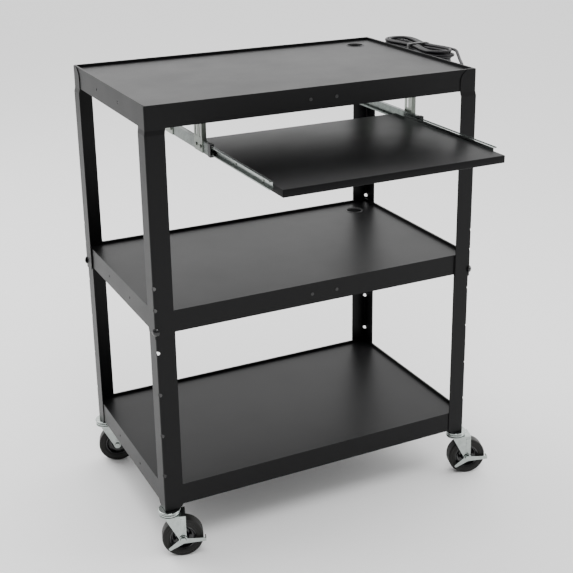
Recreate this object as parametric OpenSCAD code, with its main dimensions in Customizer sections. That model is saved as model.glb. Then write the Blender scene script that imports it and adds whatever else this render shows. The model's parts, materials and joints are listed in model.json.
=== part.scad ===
// Adjustable steel projector cart: three shelf trays on telescoping corner angles, a pull-out
// keyboard board on ball slides, four swivel casters and an outlet strip with its wound cord.
// The origin is on the floor under the middle of the cart; +X is to the right, +Y to the back.

/* [Cart] */
// Width of the shelves, left to right
cart_w = 812; // [700:1:950]
// Depth of the shelves, front to back
cart_d = 508; // [460:1:620]
// Height of the top shelf's rim
top_rim_z = 1070; // [1000:1:1100]
// Height of the middle shelf's rim
mid_rim_z = 613; // [560:1:640]
// Height of the bottom shelf's rim
low_rim_z = 181; // [178:1:200]

/* [Shelves] */
// Height of a shelf's skirt
skirt_h = 50.8; // [44:0.1:55]
// Thickness of the skirt sheet
skirt_t = 1.5; // [1.2:0.1:2]
// Thickness of the deck sheet
deck_t = 1.2; // [1:0.1:2]
// How far the deck lies below the rim
deck_drop = 6.4; // [4:0.1:9]
// Width of the folded rim
rim_w = 4; // [3.2:0.1:6]
// Width of the flange returned under the skirt
return_w = 9; // [6:0.5:14]
// Hole in the deck for a cable grommet
cable_hole_d = 45; // [36:0.5:52]
// Cable hole's centre, in from the right edge
cable_hole_in_x = 75; // [66:1:110]
// Cable hole's centre, in from the back edge
cable_hole_in_y = 66; // [62:1:100]
// Small punched holes in the skirts
skirt_hole_d = 5.5; // [4:0.1:7]
// Distance of the skirt holes below the rim
skirt_hole_drop = 27; // [22:0.5:32]
// Spacing of the two holes in an end skirt
end_hole_pitch = 152.4; // [120:0.1:180]
// Spacing of the two holes in the front skirt
front_hole_pitch = 64; // [50:0.5:90]
// Offset of the front pair to the right of the middle
front_hole_shift = 6; // [0:0.5:20]

/* [Legs] */
// Thickness of the leg angles
leg_t = 1.9; // [1.5:0.1:2.5]
// Flange width of the leg angles
leg_flange = 44; // [38:0.5:50]
// Outside bend radius of the leg angles
bend_r = 5; // [4:0.1:7]
// Height of the lower leg's bottom end
foot_z = 122; // [122:0.5:124]
// Radius of the flange corners at the foot
foot_r = 14; // [8:0.5:20]
// Height of the upper leg's bottom end
upper_foot_z = 553; // [540:0.5:556]
// Radius of the flange corners at the upper leg's top
head_r = 27; // [12:0.5:32]
// Height of the joggle where an upper leg steps in to the top skirt
joggle_h = 10; // [8:0.5:16]
// Punched height holes on the bend of the legs
height_hole_d = 9.5; // [9:0.1:11]
// Pitch of the height holes in an upper leg
upper_hole_pitch = 50.8; // [44:0.1:60]
// Pitch of the height holes in a lower leg
lower_hole_pitch = 101.6; // [80:0.1:110]
// Thickness of the caster plate welded in the foot
gusset_t = 3; // [2.5:0.1:4]
// Leg of the triangular caster plate
gusset_w = 34; // [30:0.5:40]

/* [Height bolts] */
// Diameter of the height bolts
height_bolt_d = 8; // [7:0.1:8.4]
// Height of the height bolts
height_bolt_z = 570; // [570:0.5:575]
// Diameter of the domed bolt head
bolt_head_d = 19; // [15:0.5:21]
// Height of the domed bolt head
bolt_head_h = 5; // [4:0.1:6]
// Size across the flats of the height nuts
height_nut_af = 12.7; // [11:0.1:14]
// Thickness of the height nuts
height_nut_h = 6.8; // [5:0.1:9]

/* [Keyboard board] */
// Width of the board
board_w = 536; // [440:1:560]
// Depth of the board
board_d = 456; // [400:1:470]
// Thickness of the board
board_t = 17; // [16:0.5:19]
// Radius of the board's corners in plan
board_corner_r = 4; // [2:0.5:10]
// Board's right edge, in from the shelf's right edge
board_in = 78; // [76:1:98]
// Distance of the board's top below the top rim
board_drop = 144; // [125:1:180]
// How far the board is drawn out, as a share of the slides' length, as photographed
board_out = 0.854; // [0.68:0.002:0.856]

/* [Slides] */
// Length of the slide members
slide_len = 370; // [350:1:372]
// Height of a fixed slide member
slide_h = 27; // [26:0.5:30]
// Thickness of a slide across its two members
slide_w = 12; // [12:0.1:13]
// Thickness of the slide members' steel
slide_t = 1.2; // [1:0.1:1.3]
// How far a slide's centre lies below the board's top
slide_drop = 2; // [0:0.5:5]
// Front end of the fixed member, back from the shelf's front
slide_front = 128; // [124:1:130]
// Front end of the moving member, back from the board's front edge
rail_setback = 44; // [36:1:52]
// Diameter of the slide balls
ball_d = 3.8; // [3.6:0.05:3.9]
// Length of a ball retainer, as a share of the slides' length
cage_part = 0.126; // [0.1:0.002:0.128]
// Balls in each row of a retainer
cage_balls = 5; // [3:1:6]

/* [Hangers] */
// Thickness of the hanger brackets
hanger_t = 2; // [1.5:0.1:2.5]
// Width of a hanger bracket
hanger_w = 48; // [42:1:54]
// Top flange of a hanger bracket
hanger_flange = 24; // [20:1:30]
// Stiffening flange on a hanger's front edge
hanger_lip = 9; // [6:0.5:10]
// Middle of the front hangers along the fixed slides, as a share of their length
hanger_front_part = 0.14; // [0.1:0.002:0.16]
// Middle of the rear hangers along the fixed slides, as a share of their length
hanger_rear_part = 0.656; // [0.6:0.002:0.66]

/* [Casters] */
// Diameter of the wheels
wheel_d = 96; // [90:1:98]
// Width of the tyres
tyre_w = 32; // [28:0.5:34]
// Trail of the axle behind the swivel axis
trail = 28; // [27:0.5:34]
// Angle by which every caster is turned, as photographed
caster_turn = -18; // [-30:1:30]
// Swivel axis, in from the shelf's two edges
caster_in = 11; // [10.6:0.1:13]
// Diameter of the swivel races
race_d = 52; // [46:0.5:54]
// Diameter of the threaded stem
stem_d = 9.5; // [9:0.1:10]
// Diameter of the king pin in the swivel
king_d = 12; // [11:0.1:14]
// Diameter of the axle bolt
axle_d = 8; // [7:0.1:9]
// Thickness of the fork's sheet
fork_t = 2.5; // [2:0.1:3]

/* [Outlet strip] */
// Depth of the strip's case, out from the skirt
strip_d = 32; // [30:0.5:34]
// Height of the strip's case
strip_h = 40; // [36:0.5:40]
// Length of the strip's case
strip_l = 210; // [190:1:230]
// Wall of the strip's case
strip_wall = 1.5; // [1.2:0.1:2]
// Width and height of an outlet insert
outlet_w = 34; // [30:0.5:36]
// Height of an outlet insert
outlet_h = 28; // [24:0.5:30]
// Spacing of the outlets
outlet_pitch = 60; // [50:1:66]

/* [Cord] */
// Diameter of the cord
cord_d = 7.5; // [7:0.1:7.6]
// Straight length of the hank's runs
hank_run = 182; // [160:1:190]
// Radius of the hank's innermost fold, on the cord's centre
hank_r = 23; // [22:0.5:24]
// Distance between neighbouring turns
hank_pitch = 8.4; // [8.3:0.1:8.5]
// How far the hank is drawn in at its waist
hank_waist = 15; // [4:0.5:15.5]

/* [Hidden] */
$fn = 48;

// One overrun for every cut, and the clearances of the fits
over = 1;
run_gap = 0.3;
fit_gap = 0.08;
insert_gap = 0.2;

// Colours
paint = "#2b2c2d";
zinc = "#c9cecb";
rubber = "#1a1a1a";
laminate = "#161718";
plastic = "#202122";

// Shelf values
corner_r = bend_r - leg_t;
deck_under = deck_drop + deck_t;
grommet_edge = 2;
grommet_lip_d = cable_hole_d + 2 * grommet_edge;
grommet_bore_d = cable_hole_d - 2 * grommet_edge;
grommet_lip_h = 1.2;
grommet_groove = 0.15;
button_edge = 1.2;
button_h = 0.9;
return_gap = 2;
return_clear = leg_flange + return_gap;

// Leg values
upper_out = 2 * leg_t;
joggle_gap = 2;
joggle_top_z = top_rim_z - skirt_h - joggle_gap;
joggle_low_z = joggle_top_z - joggle_h;
head_gap = 1;
upper_holes = 3;
lower_holes = 4;
bend_centre = bend_r - leg_t;

// Height bolt values, measured along the diagonal from the shelf's corner
bolt_seat = (bend_r - upper_out) * sqrt(2) - bend_r;
nut_seat = height_nut_af / sqrt(3) + skirt_t * sqrt(2);
bolt_end = 3;
bolt_tail = nut_seat + height_nut_h + bolt_end;
gusset_rise = 3;
gusset_z = foot_z + gusset_rise;

// Board and slide values
board_right = cart_w / 2 - board_in;
board_left = board_right - board_w;
board_top = top_rim_z - board_drop;
slide_z = board_top - slide_drop;
channel_y = -cart_d / 2 + slide_front;
rail_y = channel_y - board_out * slide_len;
board_front = rail_y - rail_setback;
cage_len = cage_part * slide_len;
hanger_front_y = channel_y + hanger_front_part * slide_len;
hanger_rear_y = channel_y + hanger_rear_part * slide_len;
cage_gap = 0.6;
cage_t = 0.6;
cage_u = slide_t + cage_gap;
lip_u = cage_u + cage_t + cage_gap;
rail_h = slide_h - 2 * slide_t - 2 * (ball_d + 2 * run_gap / 3);
rail_lip = 1.5;
channel_lip = 2;
ball_u = lip_u + slide_t + run_gap + ball_d / 2;
channel_lip_u = ball_u + ball_d / 2 + run_gap;
ball_v = slide_h / 2 - slide_t - ball_d / 2 - run_gap / 3;
cage_v = ball_v - run_gap / 3;
cage_y = (channel_y + rail_y + slide_len - cage_len) / 2;
guide_len = 13;
guide_wall = 1.6;
board_screw_d = 3.2;
board_screw_len = 14;
board_screw_head_d = 7;
board_screw_head_h = 1.6;
board_screw_shares = [0.12, 0.5, 0.88];

// Hanger values
hanger_top = top_rim_z - deck_under;
slot_w = 6.5;
slot_h = 34;
slot_gap = 22;
slot_top = 84;
screw_d = 5;
stud_nut_af = 8;
stud_nut_h = 4;
stud_end = 1.5;
screw_head_h = 2.4;
slide_screw_d = 4;
slide_screw_head_d = 8;
slide_screw_gap = 26;

// Caster values
axle_z = wheel_d / 2;
crown_gap = 9.5;
crown_z = wheel_d + crown_gap;
crown_t = 3;
fork_race_z = crown_z + crown_t;
top_race_h = 4.8;
collar_h = 4;
collar_z = gusset_z - collar_h;
top_race_z = collar_z - top_race_h;
fork_race_h = top_race_z - run_gap - fork_race_z;
race_step = 1.5;
fork_race_d = race_d - 2 * race_step;
stem_nut_af = 16;
stem_nut_h = 7;
stem_end = 4;
stem_top_z = gusset_z + gusset_t + stem_nut_h + stem_end;
king_foot_d = 19;
king_foot_h = 2;
fork_gap = 1.8;
fork_in = tyre_w / 2 + fork_gap;
fork_out = fork_in + fork_t;
fork_boss_r = 9;
fork_nose = 10;
fork_back = 8;
hub_d = 62;
hub_boss_d = 24;
hub_web_share = 0.3;
hub_rim_t = 5;
hub_edge = 2;
hub_dish = 1;
tread_r = 5;
axle_head_af = 13;
axle_head_h = 4.5;
axle_nut_h = 6;
lever_t = 2.2;
lever_gap = 0.4;
lever_boss_r = 10;
lever_front = 53.2;
lever_back = 34;
lever_back_drop = 22;
lever_arm = 8;
lever_tab = 13;

// Strip, hook and cord values
cord_side_x = cart_w / 2;
hank_layers = 4;
turns_per_layer = 2;
hank_top_rise = 3;
hank_z = top_rim_z + hank_top_rise;
hank_out = 44.6;
hank_x = cord_side_x + hank_out;
hank_y = 67;
hank_outer = hank_r + turns_per_layer * hank_pitch;
hank_turns = hank_layers * turns_per_layer - 1 / 3;
hank_bottom = hank_z - (hank_layers - 1) * hank_pitch - cord_d / 2;
arm_t = 3;
arm_w = 20;
arm_top = hank_bottom - run_gap;
arm_reach = 94;
arm_tip = 14;
arm_back_h = 20;
arm_screw_z = arm_top + arm_back_h / 2;
arm_shares = [0.16, 0.84];
strip_drop = 35;
strip_top = top_rim_z - strip_drop;
strip_y = -104;
strip_r = 3;
strip_screw_rise = 8;
strip_screw_z = top_rim_z - skirt_h + strip_screw_rise;
strip_screw_shares = [0.2, 0.8];
relief_l = 28;
relief_d1 = 15;
relief_d2 = 10.4;
plug_lead = 34;
hank_lead = 8;
plug_relief_l = 12;
plug_l = 28;
plug_w = 14.8;
plug_h = 2 * (hank_z - (hank_layers - 1) * hank_pitch - strip_top);
plug_edge = 1;
earth_d = 4.7;
outlet_back = 12;
blade_l = 16;
blade_w = 6.3;
blade_t = 1.5;
blade_gap = 12.7;
tie_w = 14;
tie_t = 1.2;
tie_gap = 0.5;

// The cord's route from the strain relief to the start of the hank, chosen by hand
// from the top rim of the right skirt
tail_points = [
    [16, -132, -55], [16, -139, -55], [16.5, -152, -53], [18, -164, -46],
    [20.5, -169, -35], [24.5, -166, -24], [30.5, -156, -16], [38, -142, -12],
    [47, -125, -11], [56, -107, -9], [65, -89, -6], [73, -72, -2],
    [80, -57, 1.5], [83.7, -43, 3], [84.4, -32, 3]];
tail_route = [for (p = tail_points) p + [cord_side_x, 0, top_rim_z]];
tail_sides = 10;
hank_sides = 6;
rings_per_turn = 24;
climb_share = 0.25;
arc_share = 1 / 3;
run_share = 1 / 6;

// Places what follows at a corner of the cart, with x and y running inward from the shelf's edges
module at_corner(side, end) {
    translate([side * cart_w / 2, end * cart_d / 2, 0])
        mirror([side > 0 ? 1 : 0, 0, 0])
            mirror([0, end > 0 ? 1 : 0, 0])
                children();
}

// Solid box with vertical edges rounded to radius r, centred in plan, standing on z = 0
module rounded_block(w, d, h, r) {
    linear_extrude(height = h) {
        square([w - 2 * r, d], center = true);
        square([w, d - 2 * r], center = true);
        for (sx = [-1, 1], sy = [-1, 1])
            translate([sx * (w / 2 - r), sy * (d / 2 - r)])
                circle(r);
    }
}

// Shelf tray: a flat deck below a folded rim, and a skirt with a returned bottom edge; the two
// upper trays have a cable hole and a pair of holes in the front skirt
module shelf_tray(upper) {
    difference() {
        union() {
            difference() {
                translate([0, 0, -skirt_h])
                    rounded_block(cart_w, cart_d, skirt_h, corner_r);
                translate([0, 0, -deck_drop])
                    rounded_block(cart_w - 2 * rim_w, cart_d - 2 * rim_w, deck_drop + over, skirt_t);
                translate([0, 0, -skirt_h - over])
                    rounded_block(cart_w - 2 * skirt_t, cart_d - 2 * skirt_t,
                                  skirt_h + over - deck_under, skirt_t);
            }
            for (s = [-1, 1]) {
                translate([-cart_w / 2 + return_clear, s * (cart_d / 2 - skirt_t - return_w / 2)
                           - return_w / 2, -skirt_h])
                    cube([cart_w - 2 * return_clear, return_w, skirt_t]);
                translate([s * (cart_w / 2 - skirt_t - return_w / 2) - return_w / 2,
                           -cart_d / 2 + return_clear, -skirt_h])
                    cube([return_w, cart_d - 2 * return_clear, skirt_t]);
            }
        }
        if (upper)
            translate([cart_w / 2 - cable_hole_in_x, cart_d / 2 - cable_hole_in_y, -deck_under - over])
                cylinder(d = cable_hole_d, h = deck_t + 2 * over);
        for (s = [-1, 1])
            translate([-cart_w / 2 - over, s * end_hole_pitch / 2, -skirt_hole_drop])
                rotate([0, 90, 0])
                    cylinder(d = skirt_hole_d, h = cart_w + 2 * over);
        if (upper)
            front_hole_places()
                translate([0, 0, -over])
                    cylinder(d = skirt_hole_d, h = skirt_t + 2 * over);
    }
}

// Each front hole of a tray, with z pointing in from the skirt's face
module front_hole_places() {
    for (s = [-1, 1])
        translate([front_hole_shift + s * front_hole_pitch / 2, -cart_d / 2, -skirt_hole_drop])
            rotate([-90, 0, 0])
                children();
}

module top_shelf() {
    color(paint)
        translate([0, 0, top_rim_z])
            difference() {
                shelf_tray(true);
                translate([0, 0, -top_rim_z])
                    side_screw_places()
                        translate([0, 0, -skirt_t - over])
                            cylinder(d = slide_screw_d, h = skirt_t + 2 * over);
            }
}

module middle_shelf() {
    color(paint)
        difference() {
            translate([0, 0, mid_rim_z])
                shelf_tray(true);
            for (side = [-1, 1], end = [-1, 1])
                at_corner(side, end)
                    height_hole(height_bolt_z);
        }
}

module bottom_shelf() {
    color(paint)
        translate([0, 0, low_rim_z])
            shelf_tray(false);
}

// Section of a corner angle whose outer faces lie at -out
module angle_section(out) {
    translate([-out, -out])
        difference() {
            union() {
                translate([bend_r, 0])
                    square([leg_flange - bend_r, leg_t]);
                translate([0, bend_r])
                    square([leg_t, leg_flange - bend_r]);
                intersection() {
                    translate([bend_r, bend_r])
                        circle(bend_r);
                    square(bend_r);
                }
            }
            translate([bend_r, bend_r])
                circle(bend_r - leg_t);
        }
}

// Punched hole through the bend of a leg, on the diagonal
module height_hole(z) {
    translate([0, 0, z])
        rotate([0, 0, 45])
            rotate([0, 90, 0])
                translate([0, 0, -bend_r - over])
                    cylinder(d = height_hole_d, h = bend_r + leg_flange / 2);
}

// Cuts the two flange corners round at height z; up is 1 at a top end and -1 at a bottom end
module flange_corners(out, z, r, up) {
    reach = leg_flange - out;
    for (turn = [0, 1])
        mirror([turn, -turn, 0])
            translate([reach - r, -out - over, z - up * r])
                difference() {
                    translate([0, 0, up > 0 ? 0 : -r - over])
                        cube([r + over, leg_t + 2 * over, r + over]);
                    rotate([-90, 0, 0])
                        translate([0, 0, -over])
                            cylinder(r = r, h = leg_t + 4 * over);
                }
}

module lower_leg(side, end) {
    color(paint)
        at_corner(side, end) {
            difference() {
                translate([0, 0, foot_z])
                    linear_extrude(height = mid_rim_z - foot_z)
                        angle_section(leg_t);
                flange_corners(leg_t, foot_z, foot_r, -1);
                height_hole(height_bolt_z);
                for (i = [1:lower_holes])
                    height_hole(height_bolt_z + upper_hole_pitch - i * lower_hole_pitch);
            }
            translate([0, 0, gusset_z])
                difference() {
                    linear_extrude(height = gusset_t)
                        polygon([[bend_centre, 0], [gusset_w, 0], [0, gusset_w], [0, bend_centre]]);
                    translate([caster_in, caster_in, -over])
                        cylinder(d = stem_d + 2 * fit_gap, h = gusset_t + 2 * over);
                }
        }
}

// Upper leg: outside the lower leg, stepping in below the top skirt to lie flat on it
module upper_leg(side, end) {
    thin = 0.01;
    color(paint)
        at_corner(side, end)
            difference() {
                union() {
                    translate([0, 0, upper_foot_z])
                        linear_extrude(height = joggle_low_z - upper_foot_z)
                            angle_section(upper_out);
                    for (turn = [0, 1])
                        mirror([turn, -turn, 0])
                            hull() {
                                translate([bend_r - upper_out, -upper_out, joggle_low_z])
                                    cube([leg_flange - bend_r, leg_t, thin]);
                                translate([bend_r - leg_t, -leg_t, joggle_top_z])
                                    cube([leg_flange - bend_r, leg_t, thin]);
                            }
                    difference() {
                        hull() {
                            joggle_quarter(upper_out, joggle_low_z, bend_r, thin);
                            joggle_quarter(leg_t, joggle_top_z, bend_r, thin);
                        }
                        hull() {
                            joggle_quarter(upper_out, joggle_low_z, bend_r - leg_t, -over);
                            joggle_quarter(leg_t, joggle_top_z, bend_r - leg_t, over);
                        }
                    }
                    translate([0, 0, joggle_top_z])
                        linear_extrude(height = top_rim_z - head_gap - joggle_top_z)
                            angle_section(leg_t);
                }
                flange_corners(upper_out, upper_foot_z, foot_r, -1);
                flange_corners(leg_t, top_rim_z - head_gap, head_r, 1);
                for (i = [0:upper_holes - 1])
                    height_hole(height_bolt_z + i * upper_hole_pitch);
            }
}

// Quarter disc of the bend at one end of the joggle; a signed thickness sets which way it stands
module joggle_quarter(out, z, r, h) {
    translate([0, 0, min(z, z + h)])
        linear_extrude(height = abs(h))
            intersection() {
                translate([bend_r - out, bend_r - out])
                    circle(r, $fn = 32);
                translate([-out, -out])
                    square(bend_r);
            }
}

// Carriage bolts across the bends, which hold the upper legs at their height
module height_bolts() {
    color(zinc)
        for (side = [-1, 1], end = [-1, 1])
            at_corner(side, end)
                translate([0, 0, height_bolt_z])
                    rotate([0, 0, 45])
                        rotate([0, 90, 0]) {
                            translate([0, 0, bolt_seat])
                                cylinder(d = height_bolt_d, h = bolt_tail - bolt_seat);
                            translate([0, 0, bolt_seat])
                                rotate([180, 0, 0])
                                    bolt_dome();
                        }
}

// Domed head: a cap of the sphere that has this width and height
module bolt_dome() {
    ball_r = (pow(bolt_head_d / 2, 2) + pow(bolt_head_h, 2)) / (2 * bolt_head_h);
    rotate_extrude()
        intersection() {
            translate([0, bolt_head_h - ball_r])
                circle(ball_r, $fn = 96);
            square([bolt_head_d / 2, bolt_head_h]);
        }
}

module height_nuts() {
    color(zinc)
        for (side = [-1, 1], end = [-1, 1])
            at_corner(side, end)
                translate([0, 0, height_bolt_z])
                    rotate([0, 0, 45])
                        rotate([0, 90, 0])
                            translate([0, 0, nut_seat])
                                hex_nut(height_nut_af, height_nut_h, height_bolt_d);
}

module hex_nut(across, h, bore) {
    difference() {
        rotate([0, 0, 30])
            cylinder(d = across * 2 / sqrt(3), h = h, $fn = 6);
        translate([0, 0, -over])
            cylinder(d = bore, h = h + 2 * over);
    }
}

// Rubber grommets that line the two cable holes, and rubber buttons that close the front holes
module cable_grommets() {
    color(rubber) {
        for (z = [top_rim_z, mid_rim_z])
            translate([0, 0, z])
                front_hole_places() {
                    translate([0, 0, -button_h])
                        cylinder(d = skirt_hole_d + 2 * button_edge, h = button_h);
                    cylinder(d = skirt_hole_d - 2 * fit_gap, h = skirt_t + button_h);
                    translate([0, 0, skirt_t])
                        cylinder(d = skirt_hole_d + button_edge, h = button_h);
                }
        for (z = [top_rim_z, mid_rim_z])
            translate([cart_w / 2 - cable_hole_in_x, cart_d / 2 - cable_hole_in_y, z - deck_drop])
                rotate_extrude()
                    polygon([
                        [grommet_bore_d / 2, -deck_t - grommet_lip_h],
                        [grommet_lip_d / 2, -deck_t - grommet_lip_h],
                        [grommet_lip_d / 2, -deck_t],
                        [cable_hole_d / 2 - grommet_groove, -deck_t],
                        [cable_hole_d / 2 - grommet_groove, 0],
                        [grommet_lip_d / 2, 0],
                        [grommet_lip_d / 2 - grommet_lip_h, grommet_lip_h],
                        [grommet_bore_d / 2, grommet_lip_h]]);
    }
}

// Laminated board that slides out of the bay
module keyboard_board() {
    color(laminate)
        difference() {
            translate([(board_left + board_right) / 2, board_front + board_d / 2, board_top - board_t])
                rounded_block(board_w, board_d, board_t, board_corner_r);
            board_screw_places()
                translate([0, 0, -board_screw_len])
                    cylinder(d = board_screw_d, h = board_screw_len + over);
        }
}

// Screws from the moving rails into the board's edges, heads towards the balls
module board_screws() {
    color(zinc)
        board_screw_places() {
            translate([0, 0, -board_screw_len])
                cylinder(d = board_screw_d, h = board_screw_len + slide_t);
            translate([0, 0, slide_t])
                cylinder(d = board_screw_head_d, h = board_screw_head_h);
        }
}

// Each screw's place on the board's edge, with z pointing out of the edge
module board_screw_places() {
    for (side = [-1, 1], share = board_screw_shares)
        translate([side < 0 ? board_left : board_right, rail_y + share * slide_len, slide_z])
            rotate([0, side * 90, 0])
                children();
}

// Places a slide section drawn in u (from the hanger to the board) and v (up), and runs it back
module slide_bar(side, y, len) {
    translate([side < 0 ? board_left - slide_w : board_right + slide_w, y + len, slide_z])
        mirror([side > 0 ? 1 : 0, 0, 0])
            rotate([90, 0, 0])
                linear_extrude(height = len)
                    children();
}

// Fixed member: a channel whose lips turn in to hold two rows of balls
module slide_channel(side) {
    color(zinc)
        difference() {
            slide_bar(side, channel_y, slide_len) {
                translate([0, -slide_h / 2])
                    square([slide_t, slide_h]);
                for (s = [-1, 1]) {
                    translate([0, s * (slide_h - slide_t) / 2 - slide_t / 2])
                        square([channel_lip_u + slide_t, slide_t]);
                    translate([channel_lip_u, s * (slide_h - channel_lip) / 2 - channel_lip / 2
                               - s * slide_t / 2])
                        square([slide_t, channel_lip + slide_t], center = false);
                }
            }
            slide_screw_places(side)
                translate([0, 0, -slide_w / 2])
                    cylinder(d = slide_screw_d, h = slide_w);
        }
}

// Moving member: a smaller channel that faces the fixed one, with lips turned out round the balls
module slide_rail(side) {
    color(zinc)
        difference() {
            slide_bar(side, rail_y, slide_len) {
                translate([slide_w - slide_t, -rail_h / 2])
                    square([slide_t, rail_h]);
                for (s = [-1, 1]) {
                    translate([lip_u, s * (rail_h - slide_t) / 2 - slide_t / 2])
                        square([slide_w - lip_u, slide_t]);
                    translate([lip_u, s * (rail_h + rail_lip) / 2 - rail_lip / 2])
                        square([slide_t, rail_lip]);
                }
            }
            board_screw_places()
                translate([0, 0, -over])
                    cylinder(d = board_screw_d, h = slide_t + 2 * over);
        }
}

// Retainer strip with its two rows of balls; it travels half as far as the board
module ball_retainer(side) {
    step = cage_len / cage_balls;
    color(zinc) {
        difference() {
            slide_bar(side, cage_y, cage_len) {
                translate([cage_u, -cage_v])
                    square([cage_t, 2 * cage_v]);
                for (s = [-1, 1])
                    translate([cage_u, s * cage_v - cage_t / 2])
                        square([channel_lip_u - run_gap - cage_u, cage_t]);
            }
            ball_places(side, step)
                translate([0, 0, -slide_w / 4])
                    cylinder(d = ball_d + 2 * fit_gap, h = slide_w / 2, $fn = 24);
        }
        ball_places(side, step)
            sphere(d = ball_d, $fn = 24);
    }
}

module ball_places(side, step) {
    for (i = [0:cage_balls - 1], s = [-1, 1])
        translate([side < 0 ? board_left - slide_w + ball_u : board_right + slide_w - ball_u,
                   cage_y + (i + 0.5) * step, slide_z + s * ball_v])
            children();
}

// Black plastic guides pushed onto the front ends of the fixed channels
module slide_guides() {
    color(plastic)
        for (side = [-1, 1])
            slide_bar(side, channel_y - guide_len, guide_len)
                difference() {
                    translate([0, -slide_h / 2 - guide_wall])
                        square([channel_lip_u + slide_t, slide_h + 2 * guide_wall]);
                    translate([slide_t + run_gap, -rail_h / 2 - rail_lip - run_gap])
                        square([slide_w, rail_h + 2 * rail_lip + 2 * run_gap]);
                }
}

// Slotted bracket that hangs a slide from the underside of the top deck
module hanger(side, mid_y) {
    y0 = mid_y - hanger_w / 2;
    low = slide_z - slide_h / 2;
    color(zinc)
        translate([side < 0 ? board_left - slide_w : board_right + slide_w, y0, 0])
            mirror([side > 0 ? 1 : 0, 0, 0])
                difference() {
                    union() {
                        translate([-hanger_t, 0, low])
                            cube([hanger_t, hanger_w, hanger_top - low]);
                        translate([-hanger_flange, 0, hanger_top - hanger_t])
                            cube([hanger_flange, hanger_w, hanger_t]);
                        translate([0, 0, slide_z + slide_h / 2 + run_gap])
                            cube([hanger_lip, hanger_t, hanger_top - slide_z - slide_h / 2 - run_gap]);
                    }
                    for (s = [-1, 1])
                        translate([0, hanger_w / 2 + s * slot_gap / 2, hanger_top - slot_top - slot_h / 2])
                            upright_slot();
                    for (s = [-1, 1]) {
                        translate([-over - hanger_t, hanger_w / 2 + s * slide_screw_gap / 2, slide_z])
                            rotate([0, 90, 0])
                                cylinder(d = slide_screw_d, h = hanger_t + 2 * over);
                        translate([-hanger_flange / 2 - hanger_t / 2, hanger_w / 2 + s * slot_gap / 2,
                                   hanger_top - hanger_t - over])
                            cylinder(d = screw_d, h = hanger_t + 2 * over);
                    }
                }
}

module upright_slot() {
    for (s = [-1, 1])
        translate([-hanger_t - over, 0, s * (slot_h - slot_w) / 2])
            rotate([0, 90, 0])
                cylinder(d = slot_w, h = hanger_t + 2 * over);
    translate([-hanger_t - over, -slot_w / 2, -(slot_h - slot_w) / 2])
        cube([hanger_t + 2 * over, slot_w, slot_h - slot_w]);
}

// Each place where a hanger is screwed up to the deck, at the flange's underside
module hanger_screw_places() {
    for (side = [-1, 1], mid = [hanger_front_y, hanger_rear_y], s = [-1, 1])
        translate([side < 0 ? board_left - slide_w - (hanger_flange + hanger_t) / 2
                            : board_right + slide_w + (hanger_flange + hanger_t) / 2,
                   mid + s * slot_gap / 2, hanger_top - hanger_t])
            children();
}

// Studs with nuts that hold the hangers to the deck, and screws from the hangers into the channels
module bracket_screws() {
    color(zinc) {
        hanger_screw_places() {
            translate([0, 0, -stud_nut_h - stud_end])
                cylinder(d = screw_d, h = hanger_t + stud_nut_h + stud_end);
            translate([0, 0, -stud_nut_h])
                cylinder(d = stud_nut_af * 2 / sqrt(3), h = stud_nut_h, $fn = 6);
        }
        for (side = [-1, 1])
            slide_screw_places(side) {
                translate([0, 0, -hanger_t])
                    cylinder(d = slide_screw_d, h = hanger_t + slide_t);
                translate([0, 0, -hanger_t - screw_head_h])
                    cylinder(d = slide_screw_head_d, h = screw_head_h);
            }
    }
}

// Each place where a fixed channel is screwed to its hanger, with z pointing to the board
module slide_screw_places(side) {
    for (mid = [hanger_front_y, hanger_rear_y], s = [-1, 1])
        translate([side < 0 ? board_left - slide_w : board_right + slide_w,
                   mid + s * slide_screw_gap / 2, slide_z])
            rotate([0, -side * 90, 0])
                children();
}

// Places a caster part under its corner; every caster trails to the right and a little forward
module at_caster(side, end) {
    translate([side * (cart_w / 2 - caster_in), end * (cart_d / 2 - caster_in), 0])
        rotate([0, 0, caster_turn])
            children();
}

// Fixed half of the swivel: threaded stem, hexagon collar, top race and king pin
module caster_stem(side, end) {
    edge = top_race_h / 2;
    color(zinc)
        at_caster(side, end) {
            translate([0, 0, crown_z])
                cylinder(d = stem_d, h = stem_top_z - crown_z);
            translate([0, 0, collar_z])
                rotate([0, 0, 30])
                    cylinder(d = stem_nut_af * 2 / sqrt(3), h = collar_h, $fn = 6);
            translate([0, 0, top_race_z]) {
                cylinder(d = race_d - 2 * edge, h = top_race_h);
                rotate_extrude()
                    translate([race_d / 2 - edge, edge])
                        circle(edge);
            }
            translate([0, 0, crown_z - run_gap - king_foot_h])
                cylinder(d = king_d, h = top_race_z + top_race_h / 2 - crown_z + run_gap + king_foot_h);
            translate([0, 0, crown_z - run_gap - king_foot_h])
                cylinder(d = king_foot_d, h = king_foot_h);
        }
}

module caster_nuts() {
    color(zinc)
        for (side = [-1, 1], end = [-1, 1])
            at_caster(side, end)
                translate([0, 0, gusset_z + gusset_t])
                    hex_nut(stem_nut_af, stem_nut_h, stem_d);
}

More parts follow.
